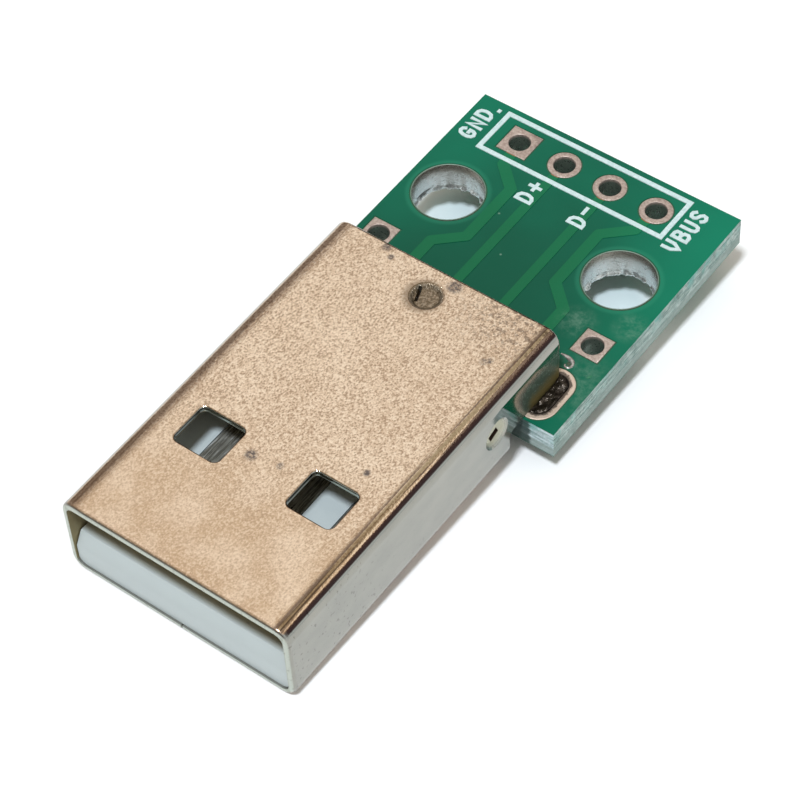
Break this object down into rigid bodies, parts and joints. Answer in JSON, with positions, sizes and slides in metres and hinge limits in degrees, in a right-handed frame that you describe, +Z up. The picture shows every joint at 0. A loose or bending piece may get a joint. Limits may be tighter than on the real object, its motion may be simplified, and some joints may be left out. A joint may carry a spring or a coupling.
{
  "type": "type a plug breakout board",
  "caption": "Small circuit board with a flat rectangular sheet-metal plug soldered to its front edge, mounting holes, shield pads and a labelled header row at its rear edge.",
  "frame": {"origin": "centre of the footprint (plug's mouth to the board's rear edge), level with the tips of the soldered legs", "axes": "+X to the right seen from the plug's mouth with the board below, +Y from the plug's mouth to the header row, +Z up"},
  "size_m": [0.0142, 0.0312, 0.0055],
  "materials": {
    "laminate": "cut glass-fibre edge",
    "mask": "green solder mask",
    "ink": "white print",
    "copper": "copper foil under the mask",
    "tinned_pad": "tinned, dull",
    "plating": "plated hole wall",
    "shell": "nickel-plated sheet, fine grain",
    "insulator": "white moulding",
    "contact": "gold flash",
    "solder": "hand solder with flux"
  },
  "bodies": {
    "root": {"board_laminate": "laminate", "mask_top": "mask", "mask_bottom": "mask", "header_print": "ink", "track_ground": "copper", "track_data_plus": "copper", "track_data_minus": "copper", "track_supply": "copper", "header_eyelet_ground": "tinned_pad", "header_eyelet_data_plus": "tinned_pad", "header_eyelet_data_minus": "tinned_pad", "header_eyelet_supply": "tinned_pad", "shield_eyelet_left": "tinned_pad", "shield_eyelet_right": "tinned_pad", "slot_eyelet_left": "tinned_pad", "slot_eyelet_right": "tinned_pad", "mount_sleeve_left": "plating", "mount_sleeve_right": "plating", "tail_pad_ground": "tinned_pad", "tail_pad_data_plus": "tinned_pad", "tail_pad_data_minus": "tinned_pad", "tail_pad_supply": "tinned_pad", "plug_shell": "shell", "plug_insulator": "insulator", "contact_ground": "contact", "contact_data_plus": "contact", "contact_data_minus": "contact", "contact_supply": "contact", "leg_solder_left": "solder", "leg_solder_right": "solder", "tail_solder_ground": "solder", "tail_solder_data_plus": "solder", "tail_solder_data_minus": "solder", "tail_solder_supply": "solder"}
  },
  "joints": []
}
